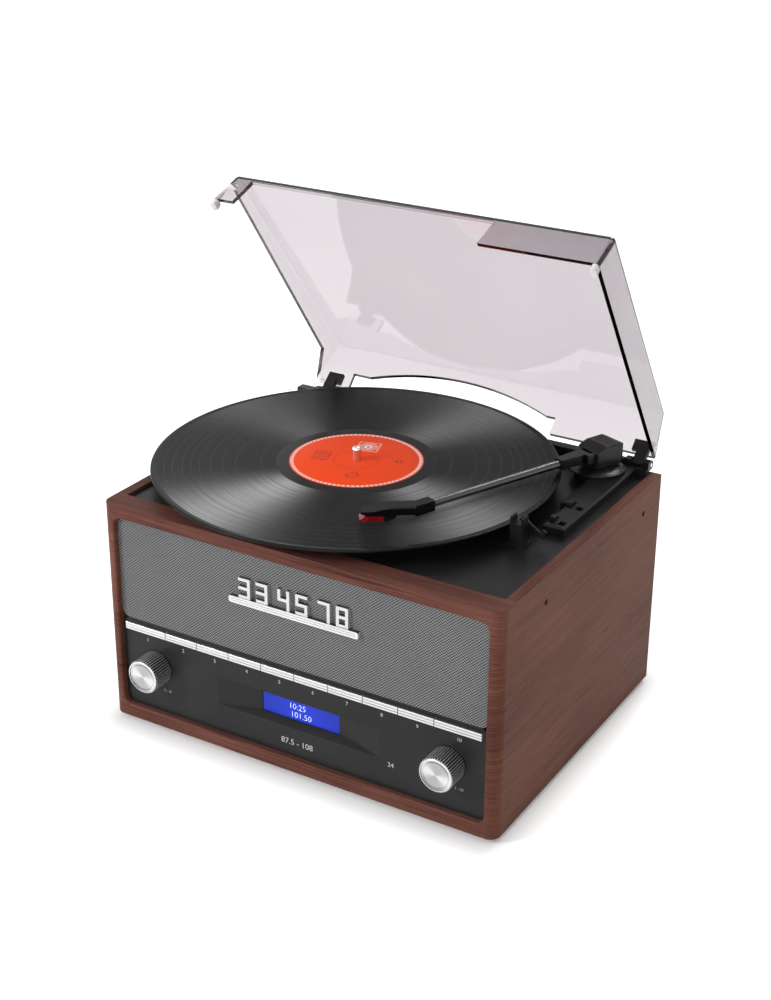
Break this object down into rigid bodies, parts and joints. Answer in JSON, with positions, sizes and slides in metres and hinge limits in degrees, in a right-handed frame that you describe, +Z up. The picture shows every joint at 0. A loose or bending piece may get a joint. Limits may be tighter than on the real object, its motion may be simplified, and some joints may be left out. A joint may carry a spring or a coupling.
{
  "type": "stereo music centre with record player",
  "caption": "Wooden table-top music centre: belt-driven turntable with tonearm under a tilting clear cover, cloth grille, front keys, two knobs and a lit display.",
  "frame": {"origin": "on the ground under the centre of the cabinet's footprint", "axes": "+Z up, the front panel faces -Y, +X to the right seen from the front"},
  "size_m": [0.344, 0.3054, 0.3789],
  "materials": {
    "wood": "satin wood-grain foil",
    "raw_board": "raw fibreboard",
    "back_board": "black painted fibreboard",
    "foot_rubber": "matte rubber",
    "bump_rubber": "soft clear rubber",
    "screw_steel": "blackened steel",
    "cloth": "woven grey cloth",
    "black_plastic": "fine matte",
    "satin_black": "satin",
    "tube_black": "gloss black lacquer",
    "silver": "brushed",
    "display_blue": "lit display window",
    "board_green": "circuit board",
    "encoder_metal": "zinc plated",
    "steel": "polished",
    "brass": "turned",
    "speaker_black": "pressed paper and plastic",
    "platter_metal": "cast and turned",
    "mat_rubber": "matte rubber",
    "vinyl": "grooved vinyl",
    "chrome": "polished",
    "stylus_red": "clear red plastic",
    "clear_cover": "clear moulded acrylic"
  },
  "bodies": {
    "cabinet": {"front_frame": "wood", "left_side_panel": "wood", "right_side_panel": "wood", "bottom_board": "raw_board", "back_panel": "back_board", "rubber_feet": "foot_rubber", "cabinet_screws": "screw_steel", "speaker_baffle": "raw_board", "grille_cloth": "cloth", "fascia_panel": "black_plastic", "front_badge": "silver", "display_module": "display_blue", "key_board": "board_green", "volume_encoder": "encoder_metal", "select_encoder": "encoder_metal", "left_speaker": "speaker_black", "right_speaker": "speaker_black", "main_board": "board_green", "power_supply": "encoder_metal", "rear_socket_plate": "black_plastic", "deck_plate": "black_plastic", "platter_bearing": "brass", "motor": "encoder_metal", "drive_belt": "mat_rubber", "tonearm_base": "chrome", "arm_rest": "black_plastic", "left_hinge_bracket": "black_plastic", "right_hinge_bracket": "black_plastic", "hinge_pins": "steel"},
    "cover": {"dust_cover": "clear_cover", "cover_bumpers": "bump_rubber", "hinge_leaves": "black_plastic"},
    "platter": {"platter": "platter_metal", "slip_mat": "mat_rubber", "record": "vinyl", "spindle": "steel"},
    "motor_pulley": {"motor_pulley": "brass"},
    "tonearm_turret": {"tonearm_turret": "satin_black"},
    "tonearm": {"tonearm_bracket": "satin_black", "tonearm_tube": "tube_black", "headshell": "satin_black", "cartridge": "satin_black", "stylus_unit": "stylus_red"},
    "volume_knob": {"volume_knob": "silver", "volume_shaft": "steel"},
    "select_plunger": {"select_plunger": "steel"},
    "select_knob": {"select_knob": "silver"},
    "speed_slider": {"speed_slider": "black_plastic"},
    "stop_slider": {"stop_slider": "black_plastic"},
    "arm_rest_latch": {"arm_rest_latch": "black_plastic"},
    "key_1": {"key_1": "silver"},
    "key_2": {"key_2": "silver"},
    "key_3": {"key_3": "silver"},
    "key_4": {"key_4": "silver"},
    "key_5": {"key_5": "silver"},
    "key_6": {"key_6": "silver"},
    "key_7": {"key_7": "silver"},
    "key_8": {"key_8": "silver"},
    "key_9": {"key_9": "silver"},
    "key_10": {"key_10": "silver"}
  },
  "joints": [
    {"name": "cover_hinge", "type": "hinge", "parent": "cabinet", "child": "cover", "pos_m": [0, 0.1295, 0.181], "axis": [-1, 0, 0], "range_deg": [-54.8, 0]},
    {"name": "platter_spin", "type": "hinge", "parent": "cabinet", "child": "platter", "pos_m": [-0.0322, 0.0092, 0.184], "axis": [0, 0, 1], "continuous": true},
    {"name": "motor_spin", "type": "hinge", "parent": "cabinet", "child": "motor_pulley", "pos_m": [-0.09301, -0.05161, 0.17], "axis": [0, 0, 1], "continuous": true},
    {"name": "tonearm_swing", "type": "hinge", "parent": "cabinet", "child": "tonearm_turret", "pos_m": [0.1191, 0.1042, 0.19], "axis": [0, 0, 1], "range_deg": [-14, 19]},
    {"name": "tonearm_lift", "type": "hinge", "parent": "tonearm_turret", "child": "tonearm", "pos_m": [0.11364, 0.09109, 0.1938], "axis": [-0.9232, 0.3843, 0], "range_deg": [0, 10]},
    {"name": "volume_turn", "type": "hinge", "parent": "cabinet", "child": "volume_knob", "pos_m": [-0.1219, -0.132, 0.0508], "axis": [0, 1, 0], "continuous": true},
    {"name": "select_press", "type": "slide", "parent": "cabinet", "child": "select_plunger", "axis": [0, 1, 0], "range_m": [0, 0.0005], "stiffness_N_per_m": 800},
    {"name": "select_turn", "type": "hinge", "parent": "select_plunger", "child": "select_knob", "pos_m": [0.1219, -0.132, 0.0508], "axis": [0, 1, 0], "continuous": true},
    {"name": "speed_slide", "type": "slide", "parent": "cabinet", "child": "speed_slider", "axis": [0, 1, 0], "range_m": [-0.0025, 0.0025]},
    {"name": "stop_slide", "type": "slide", "parent": "cabinet", "child": "stop_slider", "axis": [0, 1, 0], "range_m": [-0.0025, 0.0025]},
    {"name": "latch_swing", "type": "hinge", "parent": "cabinet", "child": "arm_rest_latch", "pos_m": [0.1249, -0.0237, 0.1889], "axis": [0, -1, 0], "range_deg": [0, 118]},
    {"name": "key_1_press", "type": "slide", "parent": "cabinet", "child": "key_1", "axis": [0, 1, 0], "range_m": [0, 0.0015], "stiffness_N_per_m": 300},
    {"name": "key_2_press", "type": "slide", "parent": "cabinet", "child": "key_2", "axis": [0, 1, 0], "range_m": [0, 0.0015], "stiffness_N_per_m": 300},
    {"name": "key_3_press", "type": "slide", "parent": "cabinet", "child": "key_3", "axis": [0, 1, 0], "range_m": [0, 0.0015], "stiffness_N_per_m": 300},
    {"name": "key_4_press", "type": "slide", "parent": "cabinet", "child": "key_4", "axis": [0, 1, 0], "range_m": [0, 0.0015], "stiffness_N_per_m": 300},
    {"name": "key_5_press", "type": "slide", "parent": "cabinet", "child": "key_5", "axis": [0, 1, 0], "range_m": [0, 0.0015], "stiffness_N_per_m": 300},
    {"name": "key_6_press", "type": "slide", "parent": "cabinet", "child": "key_6", "axis": [0, 1, 0], "range_m": [0, 0.0015], "stiffness_N_per_m": 300},
    {"name": "key_7_press", "type": "slide", "parent": "cabinet", "child": "key_7", "axis": [0, 1, 0], "range_m": [0, 0.0015], "stiffness_N_per_m": 300},
    {"name": "key_8_press", "type": "slide", "parent": "cabinet", "child": "key_8", "axis": [0, 1, 0], "range_m": [0, 0.0015], "stiffness_N_per_m": 300},
    {"name": "key_9_press", "type": "slide", "parent": "cabinet", "child": "key_9", "axis": [0, 1, 0], "range_m": [0, 0.0015], "stiffness_N_per_m": 300},
    {"name": "key_10_press", "type": "slide", "parent": "cabinet", "child": "key_10", "axis": [0, 1, 0], "range_m": [0, 0.0015], "stiffness_N_per_m": 300}
  ],
  "couplings": [
    {"joint": "motor_spin", "follows": "platter_spin", "ratio": 12.5}
  ]
}
